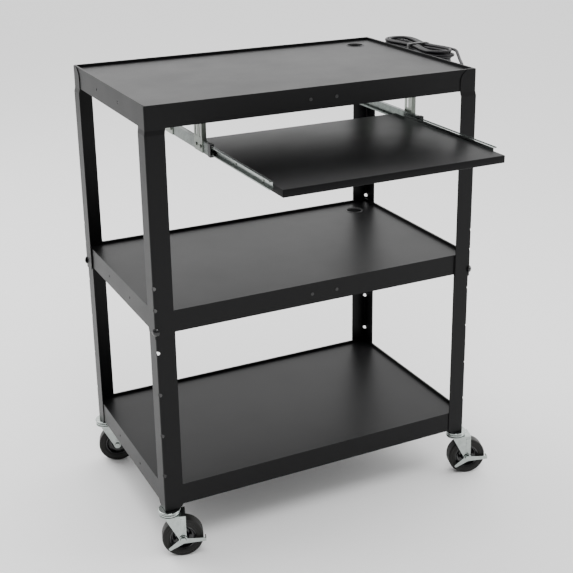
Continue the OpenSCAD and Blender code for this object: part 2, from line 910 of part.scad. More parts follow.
// Swivelling fork: lower race, crown and two cheeks down to the axle
module caster_fork(side, end) {
    edge = fork_race_h / 2;
    bore = king_d + 2 * fit_gap;
    color(zinc)
        at_caster(side, end)
            difference() {
                union() {
                    translate([0, 0, fork_race_z]) {
                        cylinder(d = fork_race_d - 2 * edge, h = fork_race_h);
                        rotate_extrude()
                            translate([fork_race_d / 2 - edge, edge])
                                circle(edge);
                    }
                    translate([0, 0, crown_z])
                        linear_extrude(height = crown_t) {
                            circle(d = fork_race_d);
                            translate([-fork_nose, -fork_out])
                                square([fork_nose + trail + fork_back, 2 * fork_out]);
                        }
                    for (s = [-1, 1])
                        translate([0, s * (fork_in + fork_t / 2) + fork_t / 2, 0])
                            rotate([90, 0, 0])
                                linear_extrude(height = fork_t)
                                    fork_cheek();
                }
                translate([0, 0, crown_z - over])
                    cylinder(d = bore, h = crown_t + fork_race_h + 2 * over);
                translate([trail, fork_out + over, axle_z])
                    rotate([90, 0, 0])
                        cylinder(d = axle_d, h = 2 * fork_out + 2 * over);
            }
}

module fork_cheek() {
    polygon([
        [-fork_nose, crown_z + crown_t],
        [trail + fork_back, crown_z + crown_t],
        [trail + fork_back, axle_z],
        [trail - fork_boss_r, axle_z],
        [-fork_nose, crown_z - crown_t]]);
    translate([trail, axle_z])
        circle(fork_boss_r);
}

// Axle bolt with its head in front and its lock nut behind
module caster_axle(side, end) {
    braked = end < 0;
    stack = fork_out + (braked ? lever_gap + lever_t + lever_gap : 0);
    color(zinc)
        at_caster(side, end)
            translate([trail, 0, axle_z]) {
                rotate([90, 0, 0])
                    translate([0, 0, -fork_out - axle_nut_h])
                        cylinder(d = axle_d, h = stack + fork_out + axle_nut_h);
                translate([0, -stack, 0])
                    rotate([90, 0, 0])
                        cylinder(d = axle_head_af * 2 / sqrt(3), h = axle_head_h, $fn = 6);
                translate([0, fork_out + axle_nut_h, 0])
                    rotate([90, 0, 0])
                        cylinder(d = axle_head_af * 2 / sqrt(3), h = axle_nut_h, $fn = 6);
            }
}

// Moulded wheel centre with a boss that spins on the axle
module wheel_hub(side, end) {
    half = tyre_w / 2;
    boss = fork_in - run_gap;
    bore_r = axle_d / 2 + fit_gap;
    boss_r = hub_boss_d / 2;
    well_r = hub_d / 2 - hub_rim_t;
    web = half * hub_web_share;
    color(plastic)
        at_caster(side, end)
            translate([trail, 0, axle_z])
                rotate([90, 0, 0])
                    rotate_extrude()
                        polygon([
                            [bore_r, -boss], [boss_r - hub_edge, -boss],
                            [boss_r, -boss + hub_edge], [boss_r + hub_edge, -web],
                            [well_r, -web - hub_dish], [well_r + hub_edge, -half + hub_edge],
                            [hub_d / 2, -half + hub_edge], [hub_d / 2, half - hub_edge],
                            [well_r + hub_edge, half - hub_edge], [well_r, web + hub_dish],
                            [boss_r + hub_edge, web], [boss_r, boss - hub_edge],
                            [boss_r - hub_edge, boss], [bore_r, boss]]);
}

// Hard rubber tyre with rounded shoulders
module tyre(side, end) {
    half = tyre_w / 2;
    color(rubber)
        at_caster(side, end)
            translate([trail, 0, axle_z])
                rotate([90, 0, 0])
                    rotate_extrude($fn = 96) {
                        translate([hub_d / 2, -half])
                            square([wheel_d / 2 - tread_r - hub_d / 2, tyre_w]);
                        translate([hub_d / 2, -half + tread_r])
                            square([wheel_d / 2 - hub_d / 2, tyre_w - 2 * tread_r]);
                        for (s = [-1, 1])
                            translate([wheel_d / 2 - tread_r, s * (half - tread_r)])
                                circle(tread_r);
                    }
}

// See-saw brake lever in front of a front fork, pivoted on the axle
module brake_lever(side, end) {
    color(zinc)
        at_caster(side, end)
            translate([trail, -fork_out - lever_gap, axle_z])
                rotate([90, 0, 0])
                    difference() {
                        union() {
                            linear_extrude(height = lever_t)
                                lever_outline();
                            translate([lever_front - lever_t, -lever_arm, -lever_tab])
                                cube([lever_t, lever_arm, lever_tab + lever_t]);
                        }
                        translate([0, 0, -lever_tab - over])
                            cylinder(d = axle_d + 2 * fit_gap, h = lever_tab + lever_t + 2 * over);
                    }
}

module lever_outline() {
    circle(lever_boss_r);
    polygon([
        [0, lever_boss_r / 3], [lever_front, 0], [lever_front, -lever_arm], [0, -lever_boss_r]]);
    hull() {
        translate([0, -lever_boss_r / 4])
            circle(lever_boss_r * 3 / 4);
        translate([lever_arm / 2 - lever_back, -lever_back_drop])
            circle(lever_arm / 2);
    }
}

// Case of the outlet strip, on the outside of the right skirt
module outlet_strip_case() {
    mid = strip_y + strip_l / 2;
    color(plastic)
        translate([cord_side_x + strip_d / 2, mid, strip_top - strip_h])
            difference() {
                rounded_block(strip_d, strip_l, strip_h, strip_r);
                translate([0, 0, strip_wall])
                    rounded_block(strip_d - 2 * strip_wall, strip_l - 2 * strip_wall,
                                  strip_h - 2 * strip_wall, strip_r - strip_wall);
                for (i = [-1:1])
                    translate([strip_d / 2 - strip_wall - over, i * outlet_pitch - outlet_w / 2,
                               (strip_h - outlet_h) / 2])
                        cube([strip_wall + 2 * over, outlet_w, outlet_h]);
                translate([0, -strip_l / 2 - over, strip_h / 2])
                    rotate([-90, 0, 0])
                        cylinder(d = relief_d2, h = strip_wall + 2 * over);
                translate([-strip_d / 2 - cord_side_x, -mid, strip_h - strip_top])
                    side_screw_places()
                        translate([0, 0, -over])
                            cylinder(d = slide_screw_d, h = strip_wall + 2 * over);
            }
}

// Three outlet inserts with blade and earth holes
module strip_outlets() {
    w = outlet_w - 2 * insert_gap;
    h = outlet_h - 2 * insert_gap;
    color("#2a2a2b")
        for (i = [-1:1])
            translate([cord_side_x + strip_d - outlet_back, strip_y + strip_l / 2 + i * outlet_pitch,
                       strip_top - strip_h / 2])
                difference() {
                    translate([0, -w / 2, -h / 2])
                        cube([outlet_back + strip_wall / 2, w, h]);
                    for (s = [-1, 1])
                        translate([outlet_back / 3, s * blade_gap / 2 - blade_t, 0])
                            cube([outlet_back, 2 * blade_t, blade_w + 2 * blade_t]);
                    translate([outlet_back / 3, 0, -blade_w])
                        rotate([0, 90, 0])
                            cylinder(d = earth_d + 2 * insert_gap, h = outlet_back);
                }
}

// Each place of a screw through the right skirt, with z pointing out of the skirt
module side_screw_places() {
    for (share = strip_screw_shares)
        translate([cord_side_x, strip_y + share * strip_l, strip_screw_z])
            rotate([0, 90, 0])
                children();
    for (share = arm_shares)
        translate([cord_side_x, hank_y + (share - 0.5) * hank_run, arm_screw_z])
            rotate([0, 90, 0])
                children();
}

// Screws from inside the right skirt into the strip's case and the hooks
module side_screws() {
    color(zinc)
        side_screw_places() {
            translate([0, 0, -skirt_t])
                cylinder(d = slide_screw_d, h = skirt_t + strip_wall);
            translate([0, 0, -skirt_t - screw_head_h])
                cylinder(d = slide_screw_head_d, h = screw_head_h);
        }
}

// Bent steel hooks on the right skirt, which carry the wound cord
module cord_hooks() {
    color(zinc)
        for (share = arm_shares)
            translate([cord_side_x, hank_y + (share - 0.5) * hank_run - arm_w / 2, arm_top - arm_t])
                difference() {
                    union() {
                        cube([arm_reach, arm_w, arm_t]);
                        cube([arm_t, arm_w, arm_back_h]);
                        translate([arm_reach - arm_t, 0, 0])
                            cube([arm_t, arm_w, arm_t + arm_tip]);
                    }
                    translate([-over, arm_w / 2, arm_screw_z - arm_top + arm_t])
                        rotate([0, 90, 0])
                            cylinder(d = slide_screw_d, h = strip_wall + over);
                }
}

// Tapered strain relief where the cord leaves the strip
module cord_strain_relief() {
    color(rubber)
        translate([tail_route[0][0], strip_y, tail_route[0][2]])
            rotate([90, 0, 0])
                difference() {
                    union() {
                        cylinder(d1 = relief_d1, d2 = relief_d2, h = relief_l);
                        translate([0, 0, -strip_wall])
                            cylinder(d = relief_d2, h = strip_wall);
                    }
                    translate([0, 0, -strip_wall - over])
                        cylinder(d = cord_d / 2, h = relief_l / 2);
                }
}

// A swept tube: rings of points around a path, closed at both ends
function unit(v) = v / norm(v);
function path_dir(p, i) =
    unit(p[min(i + 1, len(p) - 1)] - p[max(i - 1, 0)]);
function ring(c, d, r, n) =
    let (side = unit(cross(d, [0, 0, 1])), up = cross(side, d))
        [for (k = [0:n - 1]) c + r * (cos(360 * k / n) * side + sin(360 * k / n) * up)];
module tube(p, r, n) {
    points = [for (i = [0:len(p) - 1]) each ring(p[i], path_dir(p, i), r, n)];
    last = (len(p) - 1) * n;
    walls = [for (i = [0:len(p) - 2], k = [0:n - 1])
        let (a = i * n + k, b = i * n + (k + 1) % n)
            each [[a, b, a + n], [b, b + n, a + n]]];
    caps = [for (k = [1:n - 2]) each [[0, k + 1, k], [last, last + k, last + k + 1]]];
    polyhedron(points = points, faces = concat(walls, caps));
}

module cord_tail() {
    color(rubber)
        tube(tail_route, cord_d / 2, tail_sides);
}

// The hank: turns spiral in and out again, a layer lower at each reversal
function hank_layer(u) = floor(u / turns_per_layer);
function hank_offset(u) =
    let (k = hank_layer(u), inner = u - k * turns_per_layer)
        k % 2 == 0 ? turns_per_layer - inner : inner;
function hank_fall(u) =
    let (near = round(u / turns_per_layer), d = u - near * turns_per_layer)
        near < 1 || near > hank_layers - 1 || abs(d) > climb_share
            ? hank_layer(u)
            : near - 1 + (d + climb_share) / (2 * climb_share);
function hank_plan(t, r) =
    t < run_share
        ? let (s = t / run_share) [r - hank_waist * pow(sin(180 * s), 2), (s - 0.5) * hank_run]
    : t < run_share + arc_share
        ? let (a = 180 * (t - run_share) / arc_share) [r * cos(a), hank_run / 2 + r * sin(a)]
    : t < 2 * run_share + arc_share
        ? let (s = (t - run_share - arc_share) / run_share)
            [-r + hank_waist * pow(sin(180 * s), 2), (0.5 - s) * hank_run]
        : let (a = 180 + 180 * (t - 2 * run_share - arc_share) / arc_share)
            [r * cos(a), -hank_run / 2 + r * sin(a)];
function hank_point(u) =
    let (q = hank_plan(u - floor(u), hank_r + hank_pitch * hank_offset(u)))
        [hank_x + q[0], hank_y + q[1], hank_z - hank_pitch * hank_fall(u)];
hank_steps = round(hank_turns * rings_per_turn);
hank_turn_points = [for (i = [0:hank_steps]) hank_point(i * hank_turns / hank_steps)];
hank_first = hank_turn_points[0];
hank_last = hank_turn_points[hank_steps];
hank_path = concat(
    [[hank_first[0], hank_first[1] - hank_lead, hank_first[2]]],
    hank_turn_points,
    [[hank_last[0], hank_last[1] - plug_lead / 2, hank_last[2]],
     [hank_last[0], hank_last[1] - plug_lead, hank_last[2]]]);

module cord_hank() {
    color(rubber)
        tube(hank_path, cord_d / 2, hank_sides);
}

// Least gap of the hank to itself, and the cord's whole length
function route_length(p) = len(p) < 2 ? 0 : let (d = [for (i = [1:len(p) - 1]) norm(p[i] - p[i - 1])])
    d * [for (i = d) 1];
function half_steps(p) = [for (i = [0:2 * len(p) - 2])
    i % 2 == 0 ? p[i / 2] : (p[(i - 1) / 2] + p[(i + 1) / 2]) / 2];
hank_fine = half_steps(hank_path);
hank_gap = min([for (i = [0:len(hank_fine) - 1], j = [i + rings_per_turn:1:len(hank_fine) - 1])
    norm(hank_fine[i] - hank_fine[j])]) - cord_d;
echo(least_hank_gap = hank_gap, cord_length = route_length(tail_route) + route_length(hank_path));

// Strap round the waist of the hank
module cord_tie() {
    half_w = hank_outer - hank_waist + cord_d / 2 + tie_gap;
    height = (hank_layers - 1) * hank_pitch + cord_d + 2 * tie_gap;
    color(rubber)
        translate([hank_x, hank_y + tie_w / 2, hank_z - (hank_layers - 1) * hank_pitch / 2])
            rotate([90, 0, 0])
                linear_extrude(height = tie_w)
                    difference() {
                        square([2 * half_w + 2 * tie_t, height + 2 * tie_t], center = true);
                        square([2 * half_w, height], center = true);
                    }
}

// Moulded three-blade plug, lying on the strip in front of the hank
module cord_plug() {
    start = hank_path[len(hank_path) - 1];
    color(rubber)
        translate(start)
            rotate([90, 0, 0]) {
                cylinder(d1 = cord_d + plug_edge, d2 = plug_w - 2 * plug_edge, h = plug_relief_l);
                translate([-plug_w / 2, -plug_h / 2, plug_relief_l])
                    cube([plug_w, plug_h, plug_l]);
            }
    color(zinc)
        translate(start)
            rotate([90, 0, 0])
                translate([0, 0, plug_relief_l + plug_l]) {
                    for (s = [-1, 1])
                        translate([-blade_w / 2 + plug_edge, s * blade_gap / 2 - blade_t / 2, 0])
                            cube([blade_w, blade_t, blade_l]);
                    translate([-plug_w / 4, 0, 0])
                        cylinder(d = earth_d, h = blade_l);
                }
}

top_shelf();
middle_shelf();
bottom_shelf();
upper_leg(-1, -1);  // upper_leg_front_left
upper_leg(1, -1);  // upper_leg_front_right
upper_leg(-1, 1);  // upper_leg_rear_left
upper_leg(1, 1);  // upper_leg_rear_right
lower_leg(-1, -1);  // lower_leg_front_left
lower_leg(1, -1);  // lower_leg_front_right
lower_leg(-1, 1);  // lower_leg_rear_left
lower_leg(1, 1);  // lower_leg_rear_right
height_bolts();
height_nuts();
cable_grommets();
keyboard_board();
board_screws();
slide_channel(-1);  // slide_channel_left
slide_channel(1);  // slide_channel_right
ball_retainer(-1);  // ball_retainer_left
ball_retainer(1);  // ball_retainer_right
slide_rail(-1);  // slide_rail_left
slide_rail(1);  // slide_rail_right
slide_guides();
hanger(-1, hanger_front_y);  // hanger_front_left
hanger(1, hanger_front_y);  // hanger_front_right
hanger(-1, hanger_rear_y);  // hanger_rear_left
hanger(1, hanger_rear_y);  // hanger_rear_right
bracket_screws();
side_screws();
caster_stem(-1, -1);  // caster_stem_front_left
caster_stem(1, -1);  // caster_stem_front_right
caster_stem(-1, 1);  // caster_stem_rear_left
caster_stem(1, 1);  // caster_stem_rear_right
caster_nuts();
caster_fork(-1, -1);  // caster_fork_front_left
caster_fork(1, -1);  // caster_fork_front_right
caster_fork(-1, 1);  // caster_fork_rear_left
caster_fork(1, 1);  // caster_fork_rear_right
caster_axle(-1, -1);  // caster_axle_front_left
caster_axle(1, -1);  // caster_axle_front_right
caster_axle(-1, 1);  // caster_axle_rear_left
caster_axle(1, 1);  // caster_axle_rear_right
wheel_hub(-1, -1);  // wheel_hub_front_left
wheel_hub(1, -1);  // wheel_hub_front_right
wheel_hub(-1, 1);  // wheel_hub_rear_left
wheel_hub(1, 1);  // wheel_hub_rear_right
tyre(-1, -1);  // tyre_front_left
tyre(1, -1);  // tyre_front_right
tyre(-1, 1);  // tyre_rear_left
tyre(1, 1);  // tyre_rear_right
brake_lever(-1, -1);  // brake_lever_front_left
brake_lever(1, -1);  // brake_lever_front_right
outlet_strip_case();
strip_outlets();
cord_hooks();
cord_strain_relief();
cord_tail();
cord_hank();
cord_tie();
cord_plug();
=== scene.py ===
# Tall steel projector cart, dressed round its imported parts. Everything is in metres: the floor is
# z = 0 under the middle of the cart, +X is to the right and +Y runs to the back.
import json
import math

import bmesh
import bpy
from mathutils import Matrix, Vector


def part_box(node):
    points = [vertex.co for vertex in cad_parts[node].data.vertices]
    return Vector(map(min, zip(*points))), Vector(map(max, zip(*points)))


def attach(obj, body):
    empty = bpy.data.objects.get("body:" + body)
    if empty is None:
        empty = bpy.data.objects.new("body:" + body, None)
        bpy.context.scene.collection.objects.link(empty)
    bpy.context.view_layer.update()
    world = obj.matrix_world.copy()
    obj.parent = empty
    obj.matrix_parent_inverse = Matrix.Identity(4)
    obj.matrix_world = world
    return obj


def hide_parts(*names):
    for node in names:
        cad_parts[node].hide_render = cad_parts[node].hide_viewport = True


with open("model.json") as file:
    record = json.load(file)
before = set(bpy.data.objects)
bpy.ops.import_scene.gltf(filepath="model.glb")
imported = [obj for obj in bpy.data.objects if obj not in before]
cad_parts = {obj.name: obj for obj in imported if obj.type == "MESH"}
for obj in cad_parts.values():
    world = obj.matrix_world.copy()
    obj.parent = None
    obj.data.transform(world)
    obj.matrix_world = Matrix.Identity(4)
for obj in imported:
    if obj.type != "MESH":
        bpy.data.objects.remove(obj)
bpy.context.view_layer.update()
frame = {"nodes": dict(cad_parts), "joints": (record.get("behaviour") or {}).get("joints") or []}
nodes = frame["nodes"]
joints = {j["name"]: j for j in frame["joints"]}
corners = ("front_left", "front_right", "rear_left", "rear_right")


# Camera: a long lens a little above the top shelf, left of the cart, as the photograph has it.
# The frame was cut from a larger picture, so the lens is shifted.
def add_object(name, data):
    """Puts an object with the given data into the scene."""
    made = bpy.data.objects.new(name, data)
    bpy.context.scene.collection.objects.link(made)
    return made


photo_px = 573
focal_px = 1139.9
sensor_mm = 36.0
camera_place = Vector((-1.13363, -2.42338, 1.58517))
azimuth, elevation, roll = (math.radians(v) for v in (-26.708, 18.586, -0.54))
camera_data = bpy.data.cameras.new("camera")
camera_data.sensor_width = sensor_mm
camera_data.lens = focal_px / photo_px * sensor_mm
camera_data.shift_x = -0.03299
camera_data.shift_y = -0.11606
camera_data.clip_start = 0.1
camera_data.clip_end = 100
camera = add_object("camera", camera_data)
bpy.context.scene.camera = camera
look = Vector((
    -math.sin(azimuth) * math.cos(elevation),
    math.cos(azimuth) * math.cos(elevation),
    -math.sin(elevation)))
side = look.cross(Vector((0, 0, 1))).normalized()
above = side.cross(look)
right = side * math.cos(roll) + above * math.sin(roll)
up = above * math.cos(roll) - side * math.sin(roll)
facing = Matrix((right, up, -look)).transposed().to_4x4()
camera.matrix_world = Matrix.Translation(camera_place) @ facing


# Mains cord: black flexible PVC flex, 7.5 mm thick, from the outlet strip's strain relief round
# to nearly eight turns laid up as a hank on two hooks, and back to its plug on the strip. A turn
# of the hank is two straight sides between half circles, and the tie pinches it at the waist.
MM = 0.001
cart_w = 0.812
top_rim = 1.070
cord_d = 0.0075
turns_per_layer = 2
layers = 4
short_share = 1 / 3
hank_turns = layers * turns_per_layer - short_share
rings_per_turn = 48
side_share = 1 / 6
bend_share = 1 / 3
climb_share = 0.25
hank_run = 0.182
hank_r = 0.023
hank_pitch = 0.0084
hank_waist = 0.015
hank_out = 0.0446
hank_back = 0.067
hank_rise = 0.003
hank_centre = Vector((cart_w / 2 + hank_out, hank_back, top_rim + hank_rise))
plug_lead = 0.034
tail_mm = [
    (16, -132, -55), (16, -139, -55), (16.5, -152, -53), (18, -164, -46), (20.5, -169, -35),
    (24.5, -166, -24), (30.5, -156, -16), (38, -142, -12), (47, -125, -11), (56, -107, -9),
    (65, -89, -6), (73, -72, -2), (80, -57, 1.5), (83.7, -43, 3), (84.4, -32, 3)]
tail = [Vector(p) * MM + Vector((cart_w / 2, 0, top_rim)) for p in tail_mm]


def smooth_line(points, steps):
    """Points of a Catmull-Rom curve through the given points."""
    ends = [2 * points[0] - points[1], *points, 2 * points[-1] - points[-2]]
    line = []
    for a, b, c, d in zip(ends, ends[1:], ends[2:], ends[3:]):
        for k in range(steps):
            t = k / steps
            line.append(0.5 * (2 * b + (c - a) * t + (2 * a - 5 * b + 4 * c - d) * t ** 2
                               + (3 * b - a - 3 * c + d) * t ** 3))
    return [*line, points[-1]]


def hank_point(u):
    """The hank's centreline after u turns: it spirals in and out again, a layer lower each time."""
    layer = math.floor(u / turns_per_layer)
    inner = u - layer * turns_per_layer
    offset = turns_per_layer - inner if layer % 2 == 0 else inner
    near = math.floor(u / turns_per_layer + 0.5)
    past = u - near * turns_per_layer
    level = near < 1 or near > layers - 1 or abs(past) > climb_share
    fall = layer if level else near - 0.5 + 0.5 * past / climb_share
    r = hank_r + hank_pitch * offset
    way = -1 if u % 1 >= 0.5 else 1
    t = u % 0.5
    if t < side_share:
        s = t / side_share
        x = r - hank_waist * math.sin(math.pi * s) ** 2
        y = (s - 0.5) * hank_run
    else:
        a = math.pi * (t - side_share) / bend_share
        x = r * math.cos(a)
        y = hank_run / 2 + r * math.sin(a)
    return hank_centre + Vector((way * x, way * y, -hank_pitch * fall))


hank_steps = round(hank_turns * rings_per_turn)
# Keeps the last point inside the last layer
just_short = 1 - 1e-9
hank = [hank_point(i * hank_turns / hank_steps * just_short) for i in range(hank_steps + 1)]
lead_steps = 4
lead = [hank[-1] - Vector((0, plug_lead * k / lead_steps, 0)) for k in range(1, lead_steps + 1)]
tail_steps = 4
cord_line = smooth_line(tail, tail_steps) + hank + lead
cord_curve = bpy.data.curves.new("mains_cord", "CURVE")
cord_curve.dimensions = "3D"
cord_curve.bevel_depth = cord_d / 2
cord_curve.bevel_resolution = 3
cord_curve.use_fill_caps = True
spline = cord_curve.splines.new("POLY")
spline.points.add(len(cord_line) - 1)
for point, place in zip(spline.points, cord_line):
    point.co = (*place, 1)
spline.use_smooth = True
mains_cord = add_object("mains_cord", cord_curve)


def linear(hex_colour, alpha=1.0):
    """An sRGB hex colour as the linear values that the shaders take."""
    parts = [int(hex_colour[i:i + 2], 16) / 255 for i in (1, 3, 5)]
    return (*[c / 12.92 if c <= 0.04045 else ((c + 0.055) / 1.055) ** 2.4 for c in parts], alpha)


def add_node(tree, kind, links=None, **settings):
    """Adds a node, sets its properties and sockets, and links sockets to outputs."""
    made = tree.nodes.new(kind)
    for name, value in settings.items():
        if hasattr(made, name):
            setattr(made, name, value)
        else:
            made.inputs[name.replace("_", " ")].default_value = value
    for name, source in (links or {}).items():
        tree.links.new(source, made.inputs[name])
    return made


def new_material(name):
    """An empty material, its node tree, and the position on the object in metres."""
    material = bpy.data.materials.new(name)
    material.use_nodes = True
    tree = material.node_tree
    tree.nodes.clear()
    place = add_node(tree, "ShaderNodeTexCoord").outputs["Object"]
    return material, tree, place


def cells(size_mm):
    """The scale of a pattern, in cells per metre, from the size of one of its cells in mm."""
    return 1 / (size_mm * MM)


# Flexible PVC, extruded round the cord's cores: a soft gloss that settled dust dulls in patches.
# The die leaves a grain too fine to show, so it is drawn as coarse as 1.1 mm.
pvc, tree, place = new_material("flexible_pvc")
dust = add_node(tree, "ShaderNodeTexNoise", {"Vector": place}, Scale=cells(16.7), Detail=4.0)
tone = add_node(tree, "ShaderNodeMix", {"Factor": dust.outputs["Fac"]}, data_type="RGBA")
tone.inputs["A"].default_value = linear("#09080a")
tone.inputs["B"].default_value = linear("#131116")
gloss = add_node(tree, "ShaderNodeMapRange", {"Value": dust.outputs["Fac"]}, To_Min=0.34, To_Max=0.5)
grain = add_node(tree, "ShaderNodeTexNoise", {"Vector": place}, Scale=cells(1.11), Detail=2.0)
bump = add_node(tree, "ShaderNodeBump", {"Height": grain.outputs["Fac"]}, Strength=0.15, Distance=0.0002)
shader = add_node(tree, "ShaderNodeBsdfPrincipled", {
    "Base Color": tone.outputs["Result"], "Roughness": gloss.outputs["Result"],
    "Normal": bump.outputs["Normal"]}, IOR=1.3)
add_node(tree, "ShaderNodeOutputMaterial", {"Surface": shader.outputs["BSDF"]})
cord_curve.materials.append(pvc)
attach(mains_cord, "frame")
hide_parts("cord_tail", "cord_hank")


# Strain relief: a tapered PVC sleeve with six flexing ribs, moulded on where the cord leaves the
# strip. Its neck snaps into the strip's case and its collar sits against it.
def new_piece(name, work, crease=180):
    """An object from finished faces, smooth but for edges that turn by more than the crease."""
    for face in work.faces:
        face.smooth = True
    for edge in work.edges:
        if len(edge.link_faces) == 2 and edge.calc_face_angle() > math.radians(crease):
            edge.smooth = False
    mesh = bpy.data.meshes.new(name)
    work.to_mesh(mesh)
    work.free()
    return add_object(name, mesh)


def turned(name, profile, centre, axis, steps=96):
    """A round piece from a profile in mm, of radius and distance along the axis."""
    axis = Vector(axis).normalized()
    across = axis.orthogonal().normalized()
    third = axis.cross(across)
    turns = [2 * math.pi * k / steps for k in range(steps)]
    on_axis = 1e-6
    work = bmesh.new()
    rings = []
    for radius, along in profile:
        base = Vector(centre) + axis * along * MM
        if radius < on_axis:
            rings.append([work.verts.new(base)])
            continue
        rings.append([work.verts.new(base + (across * math.cos(a) + third * math.sin(a)) * radius * MM)
                      for a in turns])
    closed = profile[0][0] > on_axis and profile[-1][0] > on_axis
    pairs = list(zip(rings, rings[1:])) + ([(rings[-1], rings[0])] if closed else [])
    for low, high in pairs:
        for k in range(steps):
            n = (k + 1) % steps
            face = [low[k % len(low)], low[n % len(low)], high[n % len(high)], high[k % len(high)]]
            unique = list(dict.fromkeys(face))
            if len(unique) > 2:
                work.faces.new(unique)
    bmesh.ops.recalc_face_normals(work, faces=work.faces)
    return new_piece(name, work, crease=32)


def dress(piece, body, slot, material, *replaced):
    """Gives a new piece its material and its body, and hides the part that it stands for; slot is not used.
    """
    piece.data.materials.append(material)
    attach(piece, body)
    if replaced:
        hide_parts(*replaced)
    return piece


# Its profile is in mm: a neck, a collar, the ribs and a rounded end
neck_r, neck_l = 5.2, 1.5
collar_r, collar_l = 7.5, 3.4
first_rib_r, rib_taper, rib_depth = 7.3, 0.32, 1.1
rib_count, rib_pitch, rib_l, rib_slope, groove_l = 6, 3.9, 2.3, 0.2, 1.2
end_r, end_ease, end_round, relief_l = 5.3, 0.3, 0.8, 28
relief_y = -0.104
relief_start = Vector((tail[0].x, relief_y, tail[0].z))
relief_profile = [(0, -neck_l), (neck_r, -neck_l), (neck_r, 0), (collar_r, 0), (collar_r, collar_l)]
for k in range(rib_count):
    start = collar_l + k * rib_pitch
    foot = start + rib_l + rib_slope
    rib_r = first_rib_r - k * rib_taper
    relief_profile += [(rib_r, start), (rib_r, start + rib_l),
                       (rib_r - rib_depth, foot), (rib_r - rib_depth, foot + groove_l)]
relief_profile += [(end_r, relief_l - end_round), (end_r - end_ease, relief_l), (0, relief_l)]
relief = turned("cord_strain_relief_ribbed", relief_profile, relief_start, (0, -1, 0), steps=40)
dress(relief, "frame", "black_rubber", pvc, "cord_strain_relief")


# Plug: a flat PVC body with four finger ribs and a ringed sleeve, moulded in one on the cord's end.
# Its two flat blades and round earth pin are brass, nickel plated to a warm, fairly sharp shine.
def rounded_box(name, low, high, radius, segments=3):
    """A box between two corners with all its edges rounded."""
    low, high = Vector(low), Vector(high)
    placed = Matrix.Translation((low + high) / 2) @ Matrix.Diagonal((*(high - low), 1))
    work = bmesh.new()
    bmesh.ops.create_cube(work, size=1.0, matrix=placed)
    bmesh.ops.bevel(work, geom=work.edges[:], offset=radius, segments=segments, profile=0.5,
                    affect="EDGES", clamp_overlap=True)
    return new_piece(name, work, crease=40)


def joined(name, pieces):
    """One object from several, keeping their materials."""
    with bpy.context.temp_override(active_object=pieces[0], selected_editable_objects=pieces,
                                   selected_objects=pieces, object=pieces[0]):
        bpy.ops.object.join()
    pieces[0].name = name
    pieces[0].data.name = name
    return pieces[0]


nickel, tree, place = new_material("nickel_plated_brass")
wear = add_node(tree, "ShaderNodeTexNoise", {"Vector": place}, Scale=cells(2.5), Detail=3.0)
gloss = add_node(tree, "ShaderNodeMapRange", {"Value": wear.outputs["Fac"]}, To_Min=0.16, To_Max=0.32)
shader = add_node(tree, "ShaderNodeBsdfPrincipled", {"Roughness": gloss.outputs["Result"]},
                  Base_Color=linear("#c9c2a8"), Metallic=1.0)
add_node(tree, "ShaderNodeOutputMaterial", {"Surface": shader.outputs["BSDF"]})
plug_start = cord_line[-1]
# The sleeve's profile is in mm, and its three rings widen towards the body
sleeve_r, sleeve_end_r, sleeve_l, sleeve_sunk = 4.3, 6.4, 12.4, 0.2
first_ring_r, ring_growth, ring_flare, ring_step = 4.6, 0.9, 0.4, 0.3
ring_count, ring_pitch, ring_l, ring_foot, ring_end = 3, 4.0, 2.4, 2.7, 3.7
sleeve_profile = [(0, -sleeve_sunk), (sleeve_r, -sleeve_sunk)]
for k in range(ring_count):
    start = k * ring_pitch
    ring_r = first_ring_r + k * ring_growth
    sleeve_profile += [(ring_r, start), (ring_r + ring_flare, start + ring_l),
                       (ring_r - ring_step, start + ring_foot), (ring_r - ring_step, start + ring_end)]
sleeve_profile += [(sleeve_end_r, sleeve_l), (0, sleeve_l)]
sleeve = turned("plug_sleeve", sleeve_profile, plug_start, (0, -1, 0), steps=32)
half_w = 0.0074
half_h = 0.0134
body_back, body_front = 0.012, 0.040
body = rounded_box("plug_body", plug_start + Vector((-half_w, -body_front, -half_h)),
                   plug_start + Vector((half_w, -body_back, half_h)), radius=0.0022)
grip_out, grip_half_h = 0.0002, 0.009
grip_count, grip_start, grip_l, grip_pitch = 4, 0.016, 0.002, 0.004
grips = []
for k in range(grip_count):
    back = -grip_start - k * grip_pitch
    grips.append(rounded_box(
        "plug_rib", plug_start + Vector((-half_w - grip_out, back - grip_l, -grip_half_h)),
        plug_start + Vector((half_w + grip_out, back, grip_half_h)), radius=0.0005, segments=1))
plug = joined("mains_plug_body", [body, sleeve, *grips])
dress(plug, "frame", "cord_vinyl", pvc, "cord_plug")
blade_w, blade_l, blade_t = 0.0063, 0.0165, 0.0015
blade_offset, blade_side, blade_tip = 0.00635, 0.0021, 0.056
blades = []
for s in (-1, 1):
    low = plug_start + Vector((-blade_side, -blade_tip, s * blade_offset - blade_t / 2))
    high = low + Vector((blade_w, blade_l, blade_t))
    blades.append(rounded_box("plug_blade", low, high, radius=0.0004, segments=2))
# The pin's profile is in mm
pin_r, pin_tip_r, pin_l, pin_taper_l, pin_tip_l = 2.35, 1.6, 16, 2.5, 0.6
pin_side = 0.0037
pin_start = plug_start + Vector((-pin_side, -body_front, 0))
pin_profile = [(0, 0), (pin_r, 0), (pin_r, pin_l - pin_taper_l), (pin_tip_r, pin_l - pin_tip_l),
               (0, pin_l)]
blades.append(turned("plug_earth_pin", pin_profile, pin_start, (0, -1, 0), steps=24))
blades = joined("mains_plug_blades", blades)
dress(blades, "frame", "cord_vinyl", nickel)


